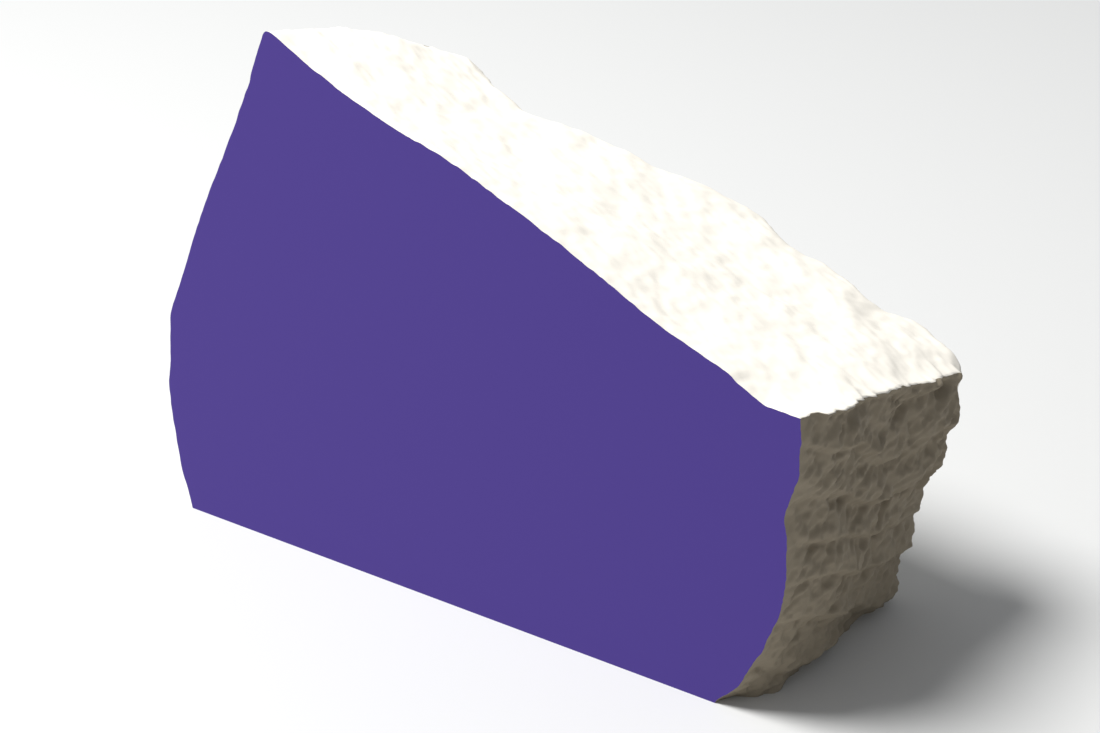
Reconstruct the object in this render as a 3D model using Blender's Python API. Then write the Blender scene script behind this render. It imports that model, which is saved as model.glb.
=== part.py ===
"""Rough purple opal, sawn and polished on one side: one natural stone, one solid.

Metres, +Z up. The polished face looks along -Y and the sawn foot lies on Z = 0. The chalky rind
covers the sloping top, the left side and the back. The rough end, where the stone broke off,
looks along +X. The origin is on the foot, in the middle of the stone's box.

The stone is a block carried onto its shape. Each side of the block follows profiles that are
given in millimetres at a few stations, then its natural edges are rounded, and then the relief
of the rind and of the broken end is added. The polished face and the foot stay flat.
"""
import bpy
import bmesh
import numpy as np
from math import radians
from mathutils import Vector

for old in list(bpy.data.objects):
    bpy.data.objects.remove(old, do_unlink=True)

MM = 0.001

# Driving dimensions, in millimetres, and how many cells the block has along X, Y and Z
FACE_Y = -30.4
APEX_HEIGHT = 105.2
TOP_FALL_TO_BACK = 0.2
CELLS = (46, 18, 34)

# The top: height over each x, along the polished face's edge (0) and further back (0.3 and on)
TOP_X = (-44, -35.5, -26, -14.8, -5.5, 15.2, 27.6, 40.6, 51.2, 55.3, 57, 62, 67.3, 76)
TOP_SLOPE = (APEX_HEIGHT, 100.6, 96.4, 91.8, 88.1, 80.3, 75.7, 70.8, 66.8, 65.3, 64.7, 62.8, 60.8, 57.5)
TOP = {
    0: (APEX_HEIGHT, 100.6, 96.2, 92.4, 90, 81.6, 75.9, 69.8, 66.1, 64.3, 62.6, 61.2, 61.3, 59),
    0.3: TOP_SLOPE,
    1: TOP_SLOPE,
}

# The left side and the broken end: x at shares of the height, from the face (0) to the back (1)
HEIGHT_SHARES = (0, 0.08, 0.24, 0.4, 0.6, 0.67, 0.83, 1)
LEFT_SIDE = {
    0: (-68, -70.6, -72, -70.4, -61.9, -58.6, -51.2, -44.1),
    0.5: (-65, -68, -70.5, -69, -62, -58.5, -50.5, -42),
    1: (-54, -57, -60, -59, -53, -50, -43, -33),
}
BROKEN_END = {
    0: (52, 57, 62, 65.4, 66, 64.8, 67.7, 67.3),
    0.06: (53, 58, 62.5, 65.5, 66.2, 65.5, 67.8, 67.4),
    0.2: (60, 61.5, 64, 66.2, 67.2, 67, 68, 68),
    0.55: (57.5, 61, 64.3, 65.8, 67, 67.5, 68.5, 68.6),
    1: (61.5, 62.5, 63.2, 64.4, 68.3, 70, 71.8, 71.8),
}

# The back: depth behind the face at shares of the width, from the foot (0) to the top (1)
WIDTH_SHARES = (0, 0.03, 0.1, 0.2, 0.25, 0.35, 0.45, 0.55, 0.62, 0.7, 0.8, 0.87, 0.93, 1)
BACK = {
    0: (38, 38, 37, 37, 39, 44, 50, 53, 52, 52, 51, 52, 52, 49),
    0.5: (44, 45, 43, 42, 45, 51, 57, 60, 58.5, 58.5, 57, 57.5, 56, 51),
    1: (41, 43, 40.5, 37.5, 43.5, 49, 56, 60.5, 54.8, 57, 54.5, 59.5, 57.5, 52.5),
}

# Radius of each natural edge. Sawn edges stay sharp, and the foot's edges open up behind the face.
# The wide back left edge loses a share of its radius over a distance to the top and to the foot.
BACK_TOP_RADIUS = 2.5
BACK_END_RADIUS = 5.5
BACK_LEFT_RADIUS = 10
BACK_LEFT_TAPER = (0.7, 12)
TOP_LEFT_RADIUS = (1.8, 5)
FOOT_RADIUS = 5
FOOT_END_RADIUS = 1.5
FOOT_OPENS_OVER = 0.33

# Relief: pairs of how wide bumps are and how high, and how far it reaches round an edge
TOP_LUMPS = ((24, 2), (10, 1.1), (5.5, 0.5))
SIDE_LUMPS = ((27, 6), (12, 3.2), (6, 1.6))
END_LUMPS = ((16, 2.2), (7, 1.4))
RELIEF_REACH = 9

# The layers of the broken end and the back: spacing, depth, dip to the back, share that juts out
LEDGE_PITCH = 9
LEDGE_DEPTH = 1.7
LEDGE_DIP = 0.38
LEDGE_STEP = 0.36
LEDGE_SWAY = (19, 0.9)

# Splinters on the broken end: slant, length and width, height
RIDGE_SLANT = radians(28)
RIDGE_SIZE = (11, 4.5)
RIDGE_HEIGHT = 1.3

# Where the relief is calmer: how much of it goes, and over which distance
CALM_AT_FACE = (0.85, 12)
CALM_AT_RIM = (0.8, 8)
CALM_AT_FOOT = (0.8, 8)
CALM_AT_RIND_LIP = (0.75, 8)

# Edges that turn further than this are sharp, and flat stretches are within this of one plane
SHARP_ANGLE = radians(28)
FLAT_ANGLE = radians(0.1)

# How near a side of the block the middle of a face lies that belongs to that side
ON_SIDE = 1e-4

# The lattice that the bumps are drawn from: its cells each way, and the cell that they start at
LATTICE = 32
LUMP_START = 100
rng = np.random.default_rng(7)
SLOPES = rng.normal(size=(LATTICE, LATTICE, LATTICE, 3))
SLOPES /= np.linalg.norm(SLOPES, axis=-1, keepdims=True)


def lump(points, width):
    """Smooth bumps and hollows: random slopes at the corners of a cubic lattice, blended."""
    grid = points / width
    corner = np.floor(grid).astype(int)
    local = grid - corner
    blend = local**3 * (local * (local * 6 - 15) + 10)
    height = np.zeros(len(points))
    for step in np.ndindex(2, 2, 2):
        slope = SLOPES[tuple(((corner + step) % LATTICE).T)]
        share = np.prod(np.where(step, blend, 1 - blend), axis=1)
        height += share * ((local - step) * slope).sum(axis=1)
    return height


def lumps(points, sizes):
    """Bumps of several sizes, one on the other."""
    return sum(lump(points + LUMP_START * width, width) * height for width, height in sizes)


def near(distance, reach):
    """1 at no distance, 0 beyond the reach, smooth between."""
    t = np.clip(1 - distance / reach, 0, 1)
    return t * t * (3 - 2 * t)


def calm(distance, fade):
    """The share that is left of a relief or a radius, least at no distance."""
    loss, reach = fade
    return 1 - loss * near(distance, reach)


def profile(t, at, values, softness=0.02, samples=7):
    """A line through the values, its corners rounded by the mean of samples on a short stretch."""
    spread = np.linspace(-softness, softness, samples) * (at[-1] - at[0])
    return np.interp(t[:, None] + spread, at, values).mean(axis=1)


def blend_profiles(profiles, at, along, across):
    """Profiles along one direction, blended in straight lines across the other."""
    places = np.array(sorted(profiles))
    rows = np.array([profile(along, at, profiles[place]) for place in places])
    upper = np.clip(np.searchsorted(places, across), 1, len(places) - 1)
    share = (across - places[upper - 1]) / (places[upper] - places[upper - 1])
    index = np.arange(len(along))
    return rows[upper - 1, index] * (1 - share) + rows[upper, index] * share


def edge_pull(gap_a, gap_b, radius):
    """How far a point moves in from each of two sides, so that their edge is round."""
    a = np.clip(radius - gap_a, 0, None)
    b = np.clip(radius - gap_b, 0, None)
    slant = np.maximum(np.hypot(a, b), 1e-9)
    pull = 1 - np.maximum(a, b) / slant
    return a * pull, b * pull


def ledges(points):
    """Broken layers: each juts out at its foot and leans back upward to the next one."""
    sway_width, sway = LEDGE_SWAY
    level = (points[:, 2] + LEDGE_DIP * (points[:, 1] - FACE_Y)) / LEDGE_PITCH
    part_up = (level + sway * lump(points, sway_width)) % 1
    return LEDGE_DEPTH * (np.interp(part_up, (0, LEDGE_STEP, 1), (0, 1, 0)) - 0.5)


def ridges(points):
    """Splintery ridges of the broken end, drawn out along a slant that rises to the back."""
    length, width = RIDGE_SIZE
    y, z = points[:, 1], points[:, 2]
    along = (y * np.cos(RIDGE_SLANT) + z * np.sin(RIDGE_SLANT)) / length
    over = (z * np.cos(RIDGE_SLANT) - y * np.sin(RIDGE_SLANT)) / width
    turned = np.column_stack((points[:, 0] / length, along, over))
    return RIDGE_HEIGHT * (0.5 - 2 * np.abs(lump(turned, 1)))


def stone(block):
    """Carries points of a block that runs from 0 to 1 each way onto the stone."""
    u, v, w = block.T
    rim = np.ones_like(w)

    left = blend_profiles(LEFT_SIDE, HEIGHT_SHARES, w, v)
    end = blend_profiles(BROKEN_END, HEIGHT_SHARES, w, v)
    depth = blend_profiles(BACK, WIDTH_SHARES, u, w)
    rim_left = blend_profiles(LEFT_SIDE, HEIGHT_SHARES, rim, v)
    rim_end = blend_profiles(BROKEN_END, HEIGHT_SHARES, rim, v)
    rim_depth = blend_profiles(BACK, WIDTH_SHARES, u, rim)
    rim_x = rim_left + (rim_end - rim_left) * u
    top = blend_profiles(TOP, TOP_X, rim_x, v) - TOP_FALL_TO_BACK * rim_depth * v

    x = left + (end - left) * u
    y = FACE_Y + v * depth
    z = w * top
    to_left, to_end = (end - left) * u, (end - left) * (1 - u)
    to_foot, to_top = w * top, (1 - w) * top
    to_face, to_back = v * depth, (1 - v) * depth

    top_left_radius = np.interp(v, (0, 1), TOP_LEFT_RADIUS)
    taper = calm(to_top, BACK_LEFT_TAPER) * calm(to_foot, BACK_LEFT_TAPER)
    opened = np.clip(v / FOOT_OPENS_OVER, 0, 1)
    in_y, down = edge_pull(to_back, to_top, BACK_TOP_RADIUS)
    y, z = y - in_y, z - down
    in_y, in_x = edge_pull(to_back, to_end, BACK_END_RADIUS)
    x, y = x - in_x, y - in_y
    in_y, in_x = edge_pull(to_back, to_left, BACK_LEFT_RADIUS * taper)
    x, y = x + in_x, y - in_y
    down, in_x = edge_pull(to_top, to_left, top_left_radius)
    x, z = x + in_x, z - down
    up, in_y = edge_pull(to_foot, to_back, FOOT_RADIUS)
    y, z = y - in_y, z + up
    up, in_x = edge_pull(to_foot, to_left, FOOT_RADIUS * opened)
    x, z = x + in_x, z + up
    up, in_x = edge_pull(to_foot, to_end, FOOT_END_RADIUS * opened)
    x, z = x - in_x, z + up

    points = np.column_stack((x, y, z))
    at_face = calm(to_face, CALM_AT_FACE)
    at_rim = calm(to_top, CALM_AT_RIM)
    at_foot = calm(to_foot, CALM_AT_FOOT)
    at_lip = calm(to_back, CALM_AT_RIND_LIP)
    side_relief = lumps(points, SIDE_LUMPS)
    layers = ledges(points)
    end_relief = lumps(points, END_LUMPS) + layers + ridges(points)
    x += near(to_end, RELIEF_REACH) * at_face * at_lip * end_relief
    x -= near(to_left, RELIEF_REACH) * at_face * at_rim * at_foot * side_relief
    y += near(to_back, RELIEF_REACH) * at_rim * at_foot * (side_relief + layers)
    z += near(to_top, RELIEF_REACH) * at_face * lumps(points, TOP_LUMPS)
    return np.column_stack((x, y, z))


def block_mesh():
    """A cube from 0 to 1, cut into a grid of cells along each direction."""
    bm = bmesh.new()
    bmesh.ops.create_cube(bm, size=1)
    bmesh.ops.translate(bm, verts=bm.verts, vec=(0.5, 0.5, 0.5))
    for axis, count in enumerate(CELLS):
        normal = Vector((0, 0, 0))
        normal[axis] = 1
        for cut in range(1, count):
            everything = bm.verts[:] + bm.edges[:] + bm.faces[:]
            bmesh.ops.bisect_plane(
                bm, geom=everything, dist=1e-6, plane_co=normal * cut / count, plane_no=normal)
    return bm


def finish(name, colour, roughness):
    """A stone finish: one colour and one roughness, no metal."""
    material = bpy.data.materials.new(name)
    material.use_nodes = True
    shader = material.node_tree.nodes["Principled BSDF"]
    shader.inputs["Base Color"].default_value = (*colour, 1)
    shader.inputs["Roughness"].default_value = roughness
    shader.inputs["Metallic"].default_value = 0
    return material


def make_opal(collection):
    """The stone, with its finishes: polished opal, chalky rind and broken matrix."""
    bm = block_mesh()
    block = np.array([vert.co for vert in bm.verts])
    for vert, place in zip(bm.verts, stone(block) * MM):
        vert.co = place
    for face in bm.faces:
        u, v, w = np.mean([block[vert.index] for vert in face.verts], axis=0)
        sawn = min(v, w) < ON_SIDE
        broken = u > 1 - ON_SIDE
        face.material_index = 0 if sawn else 2 if broken else 1
    bmesh.ops.dissolve_limit(
        bm, angle_limit=FLAT_ANGLE, verts=bm.verts, edges=bm.edges, delimit={"MATERIAL"})
    bmesh.ops.triangulate(bm, faces=bm.faces)

    mesh = bpy.data.meshes.new("purple_opal")
    bm.to_mesh(mesh)
    bm.free()
    mesh.shade_smooth()
    mesh.set_sharp_from_angle(angle=SHARP_ANGLE)
    mesh.materials.append(finish("polished_opal", (0.045, 0.022, 0.22), 0.25))
    mesh.materials.append(finish("chalky_rind", (0.72, 0.69, 0.6), 0.9))
    mesh.materials.append(finish("broken_matrix", (0.24, 0.21, 0.16), 0.95))
    opal = bpy.data.objects.new("purple_opal", mesh)
    collection.objects.link(opal)


stone_collection = bpy.data.collections.new("rough_purple_opal")
bpy.context.scene.collection.children.link(stone_collection)
make_opal(stone_collection)
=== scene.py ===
"""Rough purple opal, sawn and polished on one side: its finish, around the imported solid.

The stone is one natural body, so it is one piece here: the same block carried onto the same
profiles as the solid, with far more cells and with the fine relief of the rind and of the broken
end. Lengths are in millimetres and are multiplied by MM where a mesh or an object takes metres.
"""
from math import cos, radians, sin
import bpy
import numpy as np
from mathutils import Matrix, Vector


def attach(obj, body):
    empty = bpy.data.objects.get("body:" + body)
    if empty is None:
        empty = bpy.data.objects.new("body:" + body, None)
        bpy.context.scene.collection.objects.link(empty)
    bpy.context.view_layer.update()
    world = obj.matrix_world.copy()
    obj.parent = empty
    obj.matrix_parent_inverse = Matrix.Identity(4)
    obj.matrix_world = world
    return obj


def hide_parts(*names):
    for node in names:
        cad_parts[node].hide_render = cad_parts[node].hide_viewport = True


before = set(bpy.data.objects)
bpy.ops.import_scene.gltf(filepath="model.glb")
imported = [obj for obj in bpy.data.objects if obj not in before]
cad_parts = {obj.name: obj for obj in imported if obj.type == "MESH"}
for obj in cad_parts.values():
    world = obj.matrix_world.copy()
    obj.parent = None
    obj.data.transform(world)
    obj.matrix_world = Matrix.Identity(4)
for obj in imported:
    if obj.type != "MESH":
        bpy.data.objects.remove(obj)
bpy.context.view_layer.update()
MM = 0.001


# The camera stands where the photograph was taken from: in front of the polished face, to its
# right and above it. Its place and its two angles were fitted to the face's straight lower edge.
PHOTO_SIZE = (1100, 733)
CAMERA_PLACE = Vector((287.507, -416.574, 296.147))
CAMERA_AZIMUTH = radians(34.983)
CAMERA_ELEVATION = radians(27)
LENS = 100
FILM_WIDTH = 36

camera_right = Vector((cos(CAMERA_AZIMUTH), sin(CAMERA_AZIMUTH), 0))
camera_back = Vector((
    sin(CAMERA_AZIMUTH) * cos(CAMERA_ELEVATION),
    -cos(CAMERA_AZIMUTH) * cos(CAMERA_ELEVATION),
    sin(CAMERA_ELEVATION),
))
camera_up = camera_back.cross(camera_right)

camera_data = bpy.data.cameras.new("camera")
camera_data.lens = LENS
camera_data.sensor_width = FILM_WIDTH
camera = bpy.data.objects.new("camera", camera_data)
turn = Matrix((camera_right, camera_up, camera_back)).transposed().to_4x4()
camera.matrix_world = Matrix.Translation(CAMERA_PLACE * MM) @ turn
bpy.context.scene.collection.objects.link(camera)
bpy.context.scene.camera = camera


def seen_on(pixels, point, normal):
    """Where pixels of the photograph lie on a plane: each pixel's ray from the camera, met with it."""
    pixels = np.atleast_2d(np.asarray(pixels, float))
    pixel = FILM_WIDTH / LENS / PHOTO_SIZE[0]
    across = (pixels[:, 0] - PHOTO_SIZE[0] / 2) * pixel
    rise = (PHOTO_SIZE[1] / 2 - pixels[:, 1]) * pixel
    rays = np.outer(across, camera_right) + np.outer(rise, camera_up) - np.array(camera_back)
    place, normal = np.array(CAMERA_PLACE), np.array(normal, float)
    reach = (np.array(point, float) - place) @ normal / (rays @ normal)
    return place + reach[:, None] * rays


# The stone's body. A sawyer cut the front and the foot flat, and nature left the rest: a sloping
# chalky top, a rounded left side and back, and a rough end where the stone broke off.
FACE_Y = -30.4
APEX_HEIGHT = 105.2
TOP_FALL_TO_BACK = 0.2
CELLS = (185, 120, 160)

TOP_X = (-44, -35.5, -26, -14.8, -5.5, 15.2, 27.6, 40.6, 51.2, 55.3, 57, 62, 67.3, 76)
TOP_SLOPE = (APEX_HEIGHT, 100.6, 96.4, 91.8, 88.1, 80.3, 75.7, 70.8, 66.8, 65.3, 64.7, 62.8, 60.8, 57.5)
TOP = {
    0: (APEX_HEIGHT, 100.6, 96.2, 92.4, 90, 81.6, 75.9, 69.8, 66.1, 64.3, 62.6, 61.2, 61.3, 59),
    0.3: TOP_SLOPE,
    1: TOP_SLOPE,
}
HEIGHT_SHARES = (0, 0.08, 0.24, 0.4, 0.6, 0.67, 0.83, 1)
LEFT_SIDE = {
    0: (-68, -70.6, -72, -70.4, -61.9, -58.6, -51.2, -44.1),
    0.5: (-65, -68, -70.5, -69, -62, -58.5, -50.5, -42),
    1: (-54, -57, -60, -59, -53, -50, -43, -33),
}
BROKEN_END = {
    0: (52, 57, 62, 65.4, 66, 64.8, 67.7, 67.3),
    0.06: (53, 58, 62.5, 65.5, 66.2, 65.5, 67.8, 67.4),
    0.2: (60, 61.5, 64, 66.2, 67.2, 67, 68, 68),
    0.55: (57.5, 61, 64.3, 65.8, 67, 67.5, 68.5, 68.6),
    1: (61.5, 62.5, 63.2, 64.4, 68.3, 70, 71.8, 71.8),
}
WIDTH_SHARES = (0, 0.03, 0.1, 0.2, 0.25, 0.35, 0.45, 0.55, 0.62, 0.7, 0.8, 0.87, 0.93, 1)
BACK = {
    0: (38, 38, 37, 37, 39, 44, 50, 53, 52, 52, 51, 52, 52, 49),
    0.5: (44, 45, 43, 42, 45, 51, 57, 60, 58.5, 58.5, 57, 57.5, 56, 51),
    1: (41, 43, 40.5, 37.5, 43.5, 49, 56, 60.5, 54.8, 57, 54.5, 59.5, 57.5, 52.5),
}

BACK_TOP_RADIUS = 2.5
BACK_END_RADIUS = 5.5
BACK_LEFT_RADIUS = 10
BACK_LEFT_TAPER = (0.7, 12)
TOP_LEFT_RADIUS = (1.8, 5)
FOOT_RADIUS = 5
FOOT_END_RADIUS = 1.5
FOOT_OPENS_OVER = 0.33

TOP_LUMPS = ((24, 2), (10, 1.1), (5.5, 0.5))
SIDE_LUMPS = ((27, 6), (12, 3.2), (6, 1.6))
END_LUMPS = ((16, 2.2), (7, 1.4))
RELIEF_REACH = 9
LEDGE_PITCH = 9
LEDGE_DEPTH = 1.7
LEDGE_DIP = 0.38
LEDGE_STEP = 0.2
LEDGE_SWAY = (19, 0.9)
RIDGE_SLANT = radians(28)
RIDGE_SIZE = (11, 4.5)
RIDGE_HEIGHT = 1.3
CALM_AT_FACE = (0.85, 12)
CALM_AT_RIM = (0.8, 8)
CALM_AT_FOOT = (0.8, 8)
CALM_AT_RIND_LIP = (0.75, 8)

# What only the finished stone has: the grain of the chalk, and the splinters and grains of the end
TOP_GRAIN = ((2.6, 0.34), (1.3, 0.2))
SIDE_GRAIN = ((3.1, 0.9), (1.6, 0.45))
END_GRAIN = ((2.3, 0.75), (1.15, 0.5))
SPLINTER_SIZE = (4.6, 1.7)
SPLINTER_HEIGHT = 0.95
LIP_CALM = (0.8, 3)

LATTICE = 32
LUMP_START = 100
rng = np.random.default_rng(7)
SLOPES = rng.normal(size=(LATTICE, LATTICE, LATTICE, 3))
SLOPES /= np.linalg.norm(SLOPES, axis=-1, keepdims=True)


def lump(points, width):
    """Smooth bumps: at each corner of a cubic lattice a random slope, blended with a quintic."""
    grid = points / width
    corner = np.floor(grid).astype(int)
    local = grid - corner
    blend = local**3 * (local * (local * 6 - 15) + 10)
    height = np.zeros(len(points))
    for step in np.ndindex(2, 2, 2):
        slope = SLOPES[tuple(((corner + step) % LATTICE).T)]
        share = np.prod(np.where(step, blend, 1 - blend), axis=1)
        height += share * ((local - step) * slope).sum(axis=1)
    return height


def lumps(points, sizes):
    """Bumps of several widths, each times its height, added up."""
    return sum(lump(points + LUMP_START * width, width) * height for width, height in sizes)


def near(distance, reach):
    """1 at no distance and 0 beyond the reach, along a smooth step."""
    t = np.clip(1 - distance / reach, 0, 1)
    return t * t * (3 - 2 * t)


def calm(distance, fade):
    """1 less a loss that fades over a reach: what is left of a relief or a radius."""
    loss, reach = fade
    return 1 - loss * near(distance, reach)


def profile(t, at, values, softness=0.02, samples=7):
    """Straight lines through the values, averaged over a short stretch, so corners are round."""
    spread = np.linspace(-softness, softness, samples) * (at[-1] - at[0])
    return np.interp(t[:, None] + spread, at, values).mean(axis=1)


def blend_profiles(profiles, at, along, across):
    """The profile on each side of a point, mixed by how far across it lies between them."""
    places = np.array(sorted(profiles))
    rows = np.array([profile(along, at, profiles[place]) for place in places])
    upper = np.clip(np.searchsorted(places, across), 1, len(places) - 1)
    share = (across - places[upper - 1]) / (places[upper] - places[upper - 1])
    index = np.arange(len(along))
    return rows[upper - 1, index] * (1 - share) + rows[upper, index] * share


def edge_pull(gap_a, gap_b, radius):
    """The square corner of side radius carried onto its quarter circle: both moves inwards."""
    a = np.clip(radius - gap_a, 0, None)
    b = np.clip(radius - gap_b, 0, None)
    slant = np.maximum(np.hypot(a, b), 1e-9)
    pull = 1 - np.maximum(a, b) / slant
    return a * pull, b * pull


def ledges(points):
    """Broken layers: a sawtooth of the height plus a dip to the back, swayed by wide bumps."""
    sway_width, sway = LEDGE_SWAY
    level = (points[:, 2] + LEDGE_DIP * (points[:, 1] - FACE_Y)) / LEDGE_PITCH
    part_up = (level + sway * lump(points, sway_width)) % 1
    return LEDGE_DEPTH * (np.interp(part_up, (0, LEDGE_STEP, 1), (0, 1, 0)) - 0.5)


def ridges(points, size, height):
    """Creases where bumps, stretched along a slant that rises to the back, cross nought."""
    length, width = size
    y, z = points[:, 1], points[:, 2]
    along = (y * np.cos(RIDGE_SLANT) + z * np.sin(RIDGE_SLANT)) / length
    over = (z * np.cos(RIDGE_SLANT) - y * np.sin(RIDGE_SLANT)) / width
    turned = np.column_stack((points[:, 0] / length, along, over))
    return height * (0.5 - 2 * np.abs(lump(turned, 1)))


def stone(block):
    """Carries a block from 0 to 1 onto the stone: profiles, then round edges, then the relief.

    Also gives each point's distance to the face, the back and the top.
    """
    u, v, w = block.T
    rim = np.ones_like(w)
    left = blend_profiles(LEFT_SIDE, HEIGHT_SHARES, w, v)
    end = blend_profiles(BROKEN_END, HEIGHT_SHARES, w, v)
    depth = blend_profiles(BACK, WIDTH_SHARES, u, w)
    rim_left = blend_profiles(LEFT_SIDE, HEIGHT_SHARES, rim, v)
    rim_end = blend_profiles(BROKEN_END, HEIGHT_SHARES, rim, v)
    rim_depth = blend_profiles(BACK, WIDTH_SHARES, u, rim)
    rim_x = rim_left + (rim_end - rim_left) * u
    top = blend_profiles(TOP, TOP_X, rim_x, v) - TOP_FALL_TO_BACK * rim_depth * v

    to_left, to_end = (end - left) * u, (end - left) * (1 - u)
    to_foot, to_top = w * top, (1 - w) * top
    to_face, to_back = v * depth, (1 - v) * depth

    taper = calm(to_top, BACK_LEFT_TAPER) * calm(to_foot, BACK_LEFT_TAPER)
    top_left_radius = np.interp(v, (0, 1), TOP_LEFT_RADIUS)
    opened = np.clip(v / FOOT_OPENS_OVER, 0, 1)
    back_top_y, back_top_z = edge_pull(to_back, to_top, BACK_TOP_RADIUS)
    back_end_y, back_end_x = edge_pull(to_back, to_end, BACK_END_RADIUS)
    back_left_y, back_left_x = edge_pull(to_back, to_left, BACK_LEFT_RADIUS * taper)
    top_left_z, top_left_x = edge_pull(to_top, to_left, top_left_radius)
    foot_back_z, foot_back_y = edge_pull(to_foot, to_back, FOOT_RADIUS)
    foot_left_z, foot_left_x = edge_pull(to_foot, to_left, FOOT_RADIUS * opened)
    foot_end_z, foot_end_x = edge_pull(to_foot, to_end, FOOT_END_RADIUS * opened)

    # Where three edges meet, the largest pull counts alone, so that the surface never folds
    x = left + to_left
    x += np.maximum.reduce((back_left_x, top_left_x, foot_left_x))
    x -= np.maximum(back_end_x, foot_end_x)
    y = FACE_Y + to_face
    y -= np.maximum.reduce((back_top_y, back_end_y, back_left_y, foot_back_y))
    z = to_foot.copy()
    z -= np.maximum(back_top_z, top_left_z)
    z += np.maximum.reduce((foot_back_z, foot_left_z, foot_end_z))

    points = np.column_stack((x, y, z))
    at_face, at_rim = calm(to_face, CALM_AT_FACE), calm(to_top, CALM_AT_RIM)
    at_foot, at_lip = calm(to_foot, CALM_AT_FOOT), calm(to_back, CALM_AT_RIND_LIP)
    side_relief = lumps(points, SIDE_LUMPS)
    side_grain = lumps(points, SIDE_GRAIN)
    layers = ledges(points)
    end_relief = lumps(points, END_LUMPS) + layers + ridges(points, RIDGE_SIZE, RIDGE_HEIGHT)
    end_grain = lumps(points, END_GRAIN) + ridges(points, SPLINTER_SIZE, SPLINTER_HEIGHT)
    smooth_lip = calm(to_back, LIP_CALM) * calm(to_face, LIP_CALM)
    x += near(to_end, RELIEF_REACH) * at_face * at_lip * end_relief
    x += near(to_end, 2) * smooth_lip * end_grain
    x -= near(to_left, RELIEF_REACH) * at_face * at_rim * at_foot * side_relief
    x -= near(to_left, 2) * calm(to_face, LIP_CALM) * side_grain
    y += near(to_back, RELIEF_REACH) * at_rim * at_foot * (side_relief + layers)
    y += near(to_back, 2) * near(to_end + to_left, 1e9) * side_grain
    z += near(to_top, RELIEF_REACH) * at_face * lumps(points, TOP_LUMPS)
    z += near(to_top, 2) * lumps(points, TOP_GRAIN)
    return np.column_stack((x, y, z)), to_face, to_back, to_top


def side_of_block(axis, far):
    """The cells of one side of the block, as lattice corners that run round each cell from outside."""
    a, b = [other for other in range(3) if other != axis]
    first, second = np.meshgrid(np.arange(CELLS[a]), np.arange(CELLS[b]), indexing="ij")
    cells = np.zeros((first.size, 4, 3), int)
    for corner, (step_a, step_b) in enumerate(((0, 0), (1, 0), (1, 1), (0, 1))):
        cells[:, corner, a] = first.ravel() + step_a
        cells[:, corner, b] = second.ravel() + step_b
    cells[:, :, axis] = CELLS[axis] if far else 0
    return cells if far != (axis == 1) else cells[:, ::-1]


def rim_of_block(axis):
    """The lattice corners round the near side of the block along an axis, seen from outside."""
    a, b = [other for other in range(3) if other != axis]
    along_a, along_b = np.arange(CELLS[a]), np.arange(CELLS[b])
    rim = np.zeros((2 * (CELLS[a] + CELLS[b]), 3), int)
    rim[:, a] = np.concatenate((along_a, np.full(CELLS[b], CELLS[a]), CELLS[a] - along_a, 0 * along_b))
    rim[:, b] = np.concatenate((0 * along_a, along_b, np.full(CELLS[a], CELLS[b]), CELLS[b] - along_b))
    return rim if axis == 1 else rim[::-1]


SAWN_FACE, RIND, BROKEN, SAWN_FOOT = range(4)
grids = [
    (side_of_block(2, True), RIND),
    (side_of_block(0, False), RIND),
    (side_of_block(1, True), RIND),
    (side_of_block(0, True), BROKEN),
]
rims = [(rim_of_block(1), SAWN_FACE), (rim_of_block(2), SAWN_FOOT)]
corners = np.concatenate([cells.reshape(-1, 3) for cells, _ in grids] + [rim for rim, _ in rims])
lattice, corner_vertex = np.unique(corners, axis=0, return_inverse=True)
corner_vertex = corner_vertex.ravel()
block = lattice / CELLS
places, to_face, to_back, to_top = stone(block)
places[lattice[:, 1] == 0, 1] = FACE_Y
places[lattice[:, 2] == 0, 2] = 0

sizes = np.concatenate([np.full(len(cells), 4) for cells, _ in grids] + [[len(rim)] for rim, _ in rims])
finishes = np.concatenate([np.full(len(cells), slot) for cells, slot in grids] + [[s] for _, s in rims])
mesh = bpy.data.meshes.new("opal_stone")
mesh.vertices.add(len(places))
mesh.vertices.foreach_set("co", (places * MM).ravel())
mesh.loops.add(len(corner_vertex))
mesh.loops.foreach_set("vertex_index", corner_vertex)
mesh.polygons.add(len(sizes))
mesh.polygons.foreach_set("loop_start", np.cumsum(sizes) - sizes)
mesh.polygons.foreach_set("loop_total", sizes)
mesh.polygons.foreach_set("material_index", finishes)
mesh.update(calc_edges=True)
mesh.validate()
mesh.shade_smooth()

for name, distance in (("to_face", to_face), ("to_back", to_back), ("to_top", to_top)):
    mesh.attributes.new(name, "FLOAT", "POINT").data.foreach_set("value", distance)

# Sawn edges are crisp: an edge between a sawn side and a natural one isn't shaded smooth
edge_ends = np.zeros(len(mesh.edges) * 2, int)
mesh.edges.foreach_get("vertices", edge_ends)
edge_ends = edge_ends.reshape(-1, 2)
on_face, on_foot = lattice[:, 1] == 0, lattice[:, 2] == 0
crisp = on_face[edge_ends].all(axis=1) | on_foot[edge_ends].all(axis=1)
mesh.attributes.new("sharp_edge", "BOOLEAN", "EDGE").data.foreach_set("value", crisp)

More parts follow.
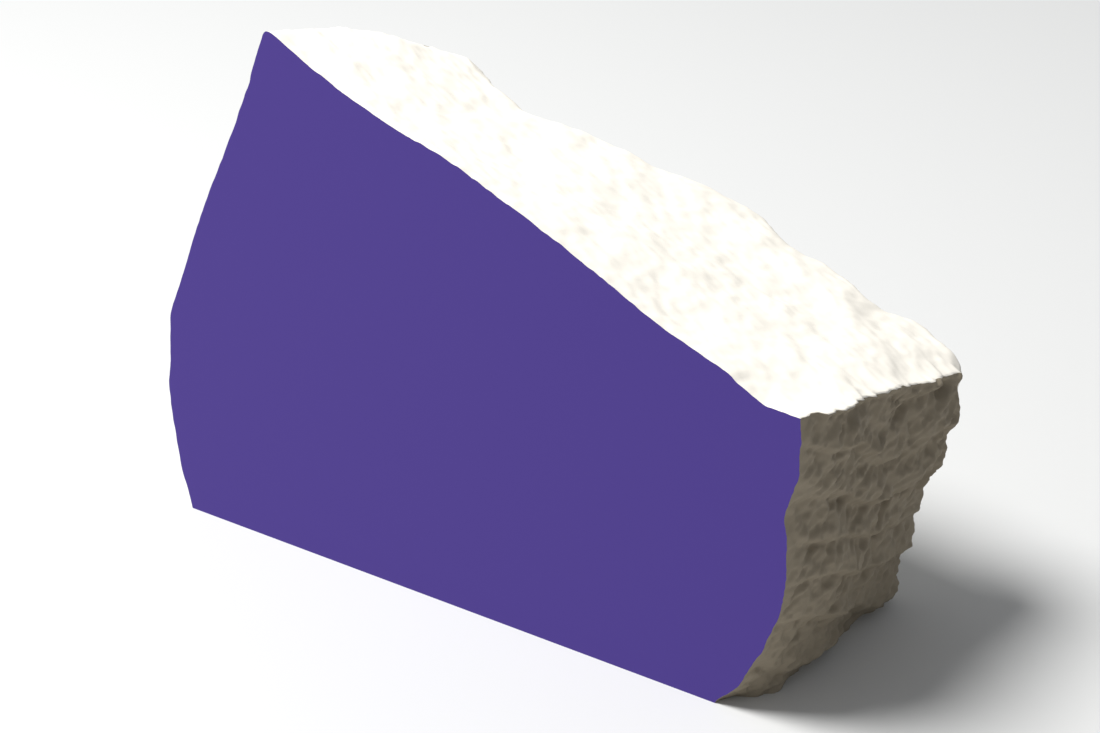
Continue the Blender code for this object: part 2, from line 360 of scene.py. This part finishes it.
stone_piece = bpy.data.objects.new("opal_stone", mesh)
bpy.context.scene.collection.objects.link(stone_piece)
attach(stone_piece, "root")
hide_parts("purple_opal")

for name, colour in (("polished_opal", (0.06, 0.03, 0.25)), ("chalky_rind", (0.8, 0.76, 0.68)),
                     ("broken_matrix", (0.25, 0.21, 0.15)), ("sawn_foot", (0.1, 0.08, 0.25))):
    plain = bpy.data.materials.new(name)
    plain.use_nodes = True
    plain.node_tree.nodes["Principled BSDF"].inputs["Base Color"].default_value = (*colour, 1)
    plain.node_tree.nodes["Principled BSDF"].inputs["Roughness"].default_value = 0.8
    mesh.materials.append(plain)


# The studio: a plain pale floor, one large soft lamp high on the left and a pale surround.
FLOOR_SIZE = 6
floor_mesh = bpy.data.meshes.new("floor")
floor_mesh.from_pydata(
    [(x * FLOOR_SIZE, y * FLOOR_SIZE, 0) for x, y in ((-1, -1), (1, -1), (1, 1), (-1, 1))],
    [], [(0, 1, 2, 3)])
floor = bpy.data.objects.new("floor", floor_mesh)
bpy.context.scene.collection.objects.link(floor)
floor_paint = bpy.data.materials.new("floor_paint")
floor_paint.use_nodes = True
floor_paint.node_tree.nodes["Principled BSDF"].inputs["Base Color"].default_value = (0.58, 0.58, 0.57, 1)
floor_paint.node_tree.nodes["Principled BSDF"].inputs["Roughness"].default_value = 0.9
floor_mesh.materials.append(floor_paint)

LAMP_PLACE = Vector((-0.35, -0.25, 0.95))
lamp_data = bpy.data.lights.new("lamp", "AREA")
lamp_data.shape = "DISK"
lamp_data.size = 0.5
lamp_data.energy = 17
lamp = bpy.data.objects.new("lamp", lamp_data)
lamp.location = LAMP_PLACE
lamp.rotation_euler = (-LAMP_PLACE).to_track_quat("-Z", "Y").to_euler()
bpy.context.scene.collection.objects.link(lamp)

world = bpy.data.worlds.new("surround")
world.use_nodes = True
world.node_tree.nodes["Background"].inputs["Color"].default_value = (0.92, 0.95, 1, 1)
world.node_tree.nodes["Background"].inputs["Strength"].default_value = 0.35
bpy.context.scene.world = world
bpy.context.scene.view_settings.view_transform = "Standard"
